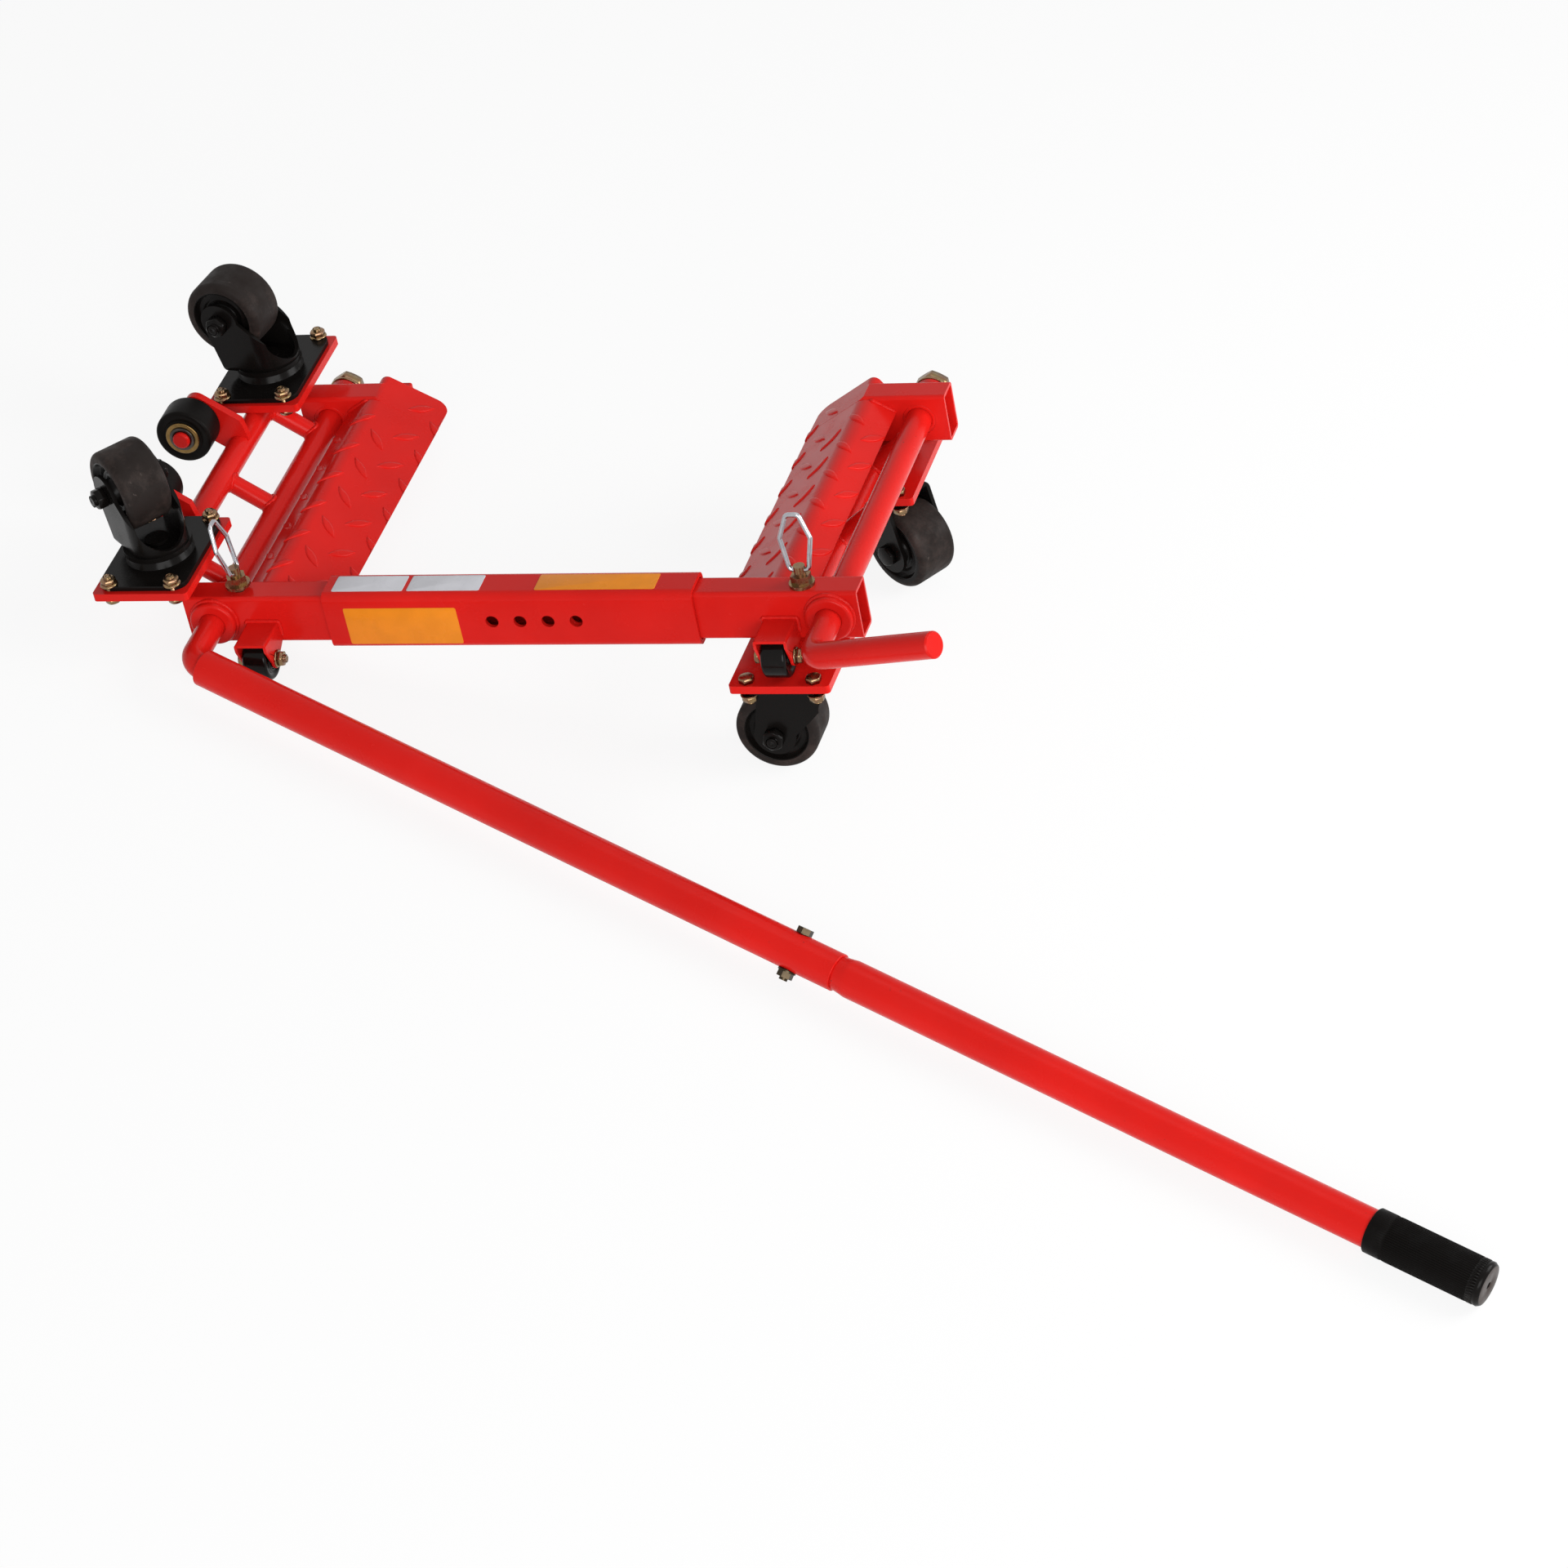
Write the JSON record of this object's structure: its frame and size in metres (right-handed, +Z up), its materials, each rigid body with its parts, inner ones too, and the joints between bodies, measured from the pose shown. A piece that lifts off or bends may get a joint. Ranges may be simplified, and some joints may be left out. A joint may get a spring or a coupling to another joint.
{
  "type": "vehicle positioning jack",
  "caption": "Lever-operated wheel dolly whose tread plates on a telescoping bar squeeze a tyre, with cranks that swing casters under each half to lift it.",
  "frame": {"origin": "on the floor under the middle of the whole object's footprint", "axes": "+X along the bar from the lowered half to the lifted half, +Y from the cranks to the rear of the tyre bay, +Z up"},
  "size_m": [1.4382, 0.9486, 0.2711],
  "materials": {
    "red_enamel": "gloss",
    "black_enamel": "gloss",
    "caster_tread": "matte",
    "roller_black": "matte",
    "small_wheel_black": "gloss",
    "zinc": "satin",
    "chrome": "polished",
    "brass": "satin",
    "grip_rubber": "matte"
  },
  "bodies": {
    "sleeve": {"bar_sleeve": "red_enamel"},
    "left_half": {"left_slide_tube": "red_enamel", "left_rear_tube": "red_enamel", "left_tread_plate": "red_enamel", "left_pivot_bushes": "red_enamel", "left_wheel_brackets": "red_enamel", "left_small_wheel_bolts": "zinc"},
    "left_ladder": {"left_crank_bar": "red_enamel", "left_caster_tube": "red_enamel", "left_rungs": "red_enamel", "left_mount_plates": "red_enamel", "left_caster_bolts": "zinc", "left_roller_arms": "red_enamel", "left_axle_retainers": "brass", "left_front_caster_plate": "black_enamel", "left_rear_caster_plate": "black_enamel"},
    "left_front_small_wheel": {"left_front_small_wheel": "small_wheel_black"},
    "left_front_roller": {"left_front_roller": "roller_black"},
    "left_front_caster_fork": {"left_front_caster_fork": "black_enamel", "left_front_caster_axle": "zinc"},
    "left_front_caster_wheel": {"left_front_caster_wheel": "caster_tread"},
    "left_rear_small_wheel": {"left_rear_small_wheel": "small_wheel_black"},
    "left_rear_roller": {"left_rear_roller": "roller_black"},
    "left_rear_caster_fork": {"left_rear_caster_fork": "black_enamel", "left_rear_caster_axle": "zinc"},
    "left_rear_caster_wheel": {"left_rear_caster_wheel": "caster_tread"},
    "left_lock_pin": {"left_lock_pin": "zinc"},
    "left_bail": {"left_bail": "chrome"},
    "right_half": {"right_slide_tube": "red_enamel", "right_rear_tube": "red_enamel", "right_tread_plate": "red_enamel", "right_pivot_bushes": "red_enamel", "right_wheel_brackets": "red_enamel", "right_small_wheel_bolts": "zinc"},
    "right_ladder": {"right_crank_bar": "red_enamel", "right_caster_tube": "red_enamel", "right_rungs": "red_enamel", "right_mount_plates": "red_enamel", "right_caster_bolts": "zinc", "right_roller_arms": "red_enamel", "right_axle_retainers": "brass", "right_front_caster_plate": "black_enamel", "right_rear_caster_plate": "black_enamel"},
    "right_front_small_wheel": {"right_front_small_wheel": "small_wheel_black"},
    "right_front_roller": {"right_front_roller": "roller_black"},
    "right_front_caster_fork": {"right_front_caster_fork": "black_enamel", "right_front_caster_axle": "zinc"},
    "right_front_caster_wheel": {"right_front_caster_wheel": "caster_tread"},
    "right_rear_small_wheel": {"right_rear_small_wheel": "small_wheel_black"},
    "right_rear_roller": {"right_rear_roller": "roller_black"},
    "right_rear_caster_fork": {"right_rear_caster_fork": "black_enamel", "right_rear_caster_axle": "zinc"},
    "right_rear_caster_wheel": {"right_rear_caster_wheel": "caster_tread"},
    "right_lock_pin": {"right_lock_pin": "zinc"},
    "right_bail": {"right_bail": "chrome"},
    "lever": {"lever_upper_tube": "red_enamel", "lever_lower_tube": "red_enamel", "lever_grip": "grip_rubber", "lever_joint_bolt": "zinc"}
  },
  "joints": [
    {"name": "left_slide", "type": "slide", "parent": "sleeve", "child": "left_half", "axis": [-0.9706, 0, -0.2405], "range_m": [0, 0.09]},
    {"name": "left_lift", "type": "hinge", "parent": "left_half", "child": "left_ladder", "pos_m": [-0.57458, 0.05482, 0.0373], "axis": [0, -1, 0], "range_deg": [0, 180]},
    {"name": "left_front_small_wheel_spin", "type": "hinge", "parent": "left_half", "child": "left_front_small_wheel", "pos_m": [-0.52125, 0.03232, 0.02167], "axis": [0.9706, 0, 0.2405], "continuous": true},
    {"name": "left_front_roller_spin", "type": "hinge", "parent": "left_ladder", "child": "left_front_roller", "pos_m": [-0.68002, 0.19032, 0.08195], "axis": [0, 1, 0], "continuous": true},
    {"name": "left_front_caster_swivel", "type": "hinge", "parent": "left_ladder", "child": "left_front_caster_fork", "pos_m": [-0.63512, 0.07881, 0.08205], "axis": [-0.2405, 0, 0.9706], "continuous": true},
    {"name": "left_front_caster_roll", "type": "hinge", "parent": "left_front_caster_fork", "child": "left_front_caster_wheel", "pos_m": [-0.67071, 0.09621, 0.14535], "axis": [-0.6495, -0.7431, -0.161], "continuous": true},
    {"name": "left_rear_small_wheel_spin", "type": "hinge", "parent": "left_half", "child": "left_rear_small_wheel", "pos_m": [-0.52125, 0.45432, 0.02167], "axis": [0.9706, 0, 0.2405], "continuous": true},
    {"name": "left_rear_roller_spin", "type": "hinge", "parent": "left_ladder", "child": "left_rear_roller", "pos_m": [-0.68002, 0.26732, 0.08195], "axis": [0, 1, 0], "continuous": true},
    {"name": "left_rear_caster_swivel", "type": "hinge", "parent": "left_ladder", "child": "left_rear_caster_fork", "pos_m": [-0.63512, 0.40281, 0.08205], "axis": [-0.2405, 0, 0.9706], "continuous": true},
    {"name": "left_rear_caster_roll", "type": "hinge", "parent": "left_rear_caster_fork", "child": "left_rear_caster_wheel", "pos_m": [-0.67681, 0.40733, 0.14383], "axis": [-0.1685, -0.9848, -0.0418], "continuous": true},
    {"name": "left_pin_lift", "type": "slide", "parent": "left_half", "child": "left_lock_pin", "axis": [-0.2405, 0, 0.9706], "range_m": [-0.005, 0.055]},
    {"name": "left_bail_swing", "type": "hinge", "parent": "left_lock_pin", "child": "left_bail", "pos_m": [-0.56029, 0.06982, 0.08772], "axis": [0, 1, 0], "range_deg": [0, 95]},
    {"name": "right_slide", "type": "slide", "parent": "sleeve", "child": "right_half", "axis": [0.9706, 0, 0.2405], "range_m": [0, 0.09]},
    {"name": "right_lift", "type": "hinge", "parent": "right_half", "child": "right_ladder", "pos_m": [0.01253, 0.05482, 0.18333], "axis": [-0.0084, -0.9994, 0.0339], "range_deg": [0, 180]},
    {"name": "right_front_small_wheel_spin", "type": "hinge", "parent": "right_half", "child": "right_front_small_wheel", "pos_m": [-0.02752, 0.03136, 0.14539], "axis": [0.9706, 0, 0.2405], "continuous": true},
    {"name": "right_front_roller_spin", "type": "hinge", "parent": "right_ladder", "child": "right_front_roller", "pos_m": [-0.05873, 0.18785, 0.09007], "axis": [0.0084, 0.9994, -0.0339], "continuous": true},
    {"name": "right_front_caster_swivel", "type": "hinge", "parent": "right_ladder", "child": "right_front_caster_fork", "pos_m": [-0.01992, 0.07679, 0.11471], "axis": [-0.2404, 0.0349, 0.97], "continuous": true},
    {"name": "right_front_caster_roll", "type": "hinge", "parent": "right_front_caster_fork", "child": "right_front_caster_wheel", "pos_m": [-0.02832, 0.07434, 0.04056], "axis": [-0.0084, -0.9994, 0.0339], "continuous": true},
    {"name": "right_rear_small_wheel_spin", "type": "hinge", "parent": "right_half", "child": "right_rear_small_wheel", "pos_m": [-0.02398, 0.4531, 0.1311], "axis": [0.9706, 0, 0.2405], "continuous": true},
    {"name": "right_rear_roller_spin", "type": "hinge", "parent": "right_ladder", "child": "right_rear_roller", "pos_m": [-0.05808, 0.2648, 0.08746], "axis": [0.0084, 0.9994, -0.0339], "continuous": true},
    {"name": "right_rear_caster_swivel", "type": "hinge", "parent": "right_ladder", "child": "right_rear_caster_fork", "pos_m": [-0.0172, 0.40059, 0.10374], "axis": [-0.2404, 0.0349, 0.97], "continuous": true},
    {"name": "right_rear_caster_roll", "type": "hinge", "parent": "right_rear_caster_fork", "child": "right_rear_caster_wheel", "pos_m": [0.02068, 0.38399, 0.04156], "axis": [0.5357, 0.8382, 0.1026], "continuous": true},
    {"name": "right_pin_lift", "type": "slide", "parent": "right_half", "child": "right_lock_pin", "axis": [-0.2404, 0.0349, 0.97], "range_m": [0, 0.06]},
    {"name": "right_bail_swing", "type": "hinge", "parent": "right_lock_pin", "child": "right_bail", "pos_m": [-0.02232, 0.07123, 0.21586], "axis": [0.9706, 0, 0.2405], "range_deg": [-80, 96]},
    {"name": "lever_pull_off", "type": "slide", "parent": "left_ladder", "child": "lever", "axis": [0.9454, -0.3256, -0.0124], "range_m": [0, 0.13]}
  ]
}
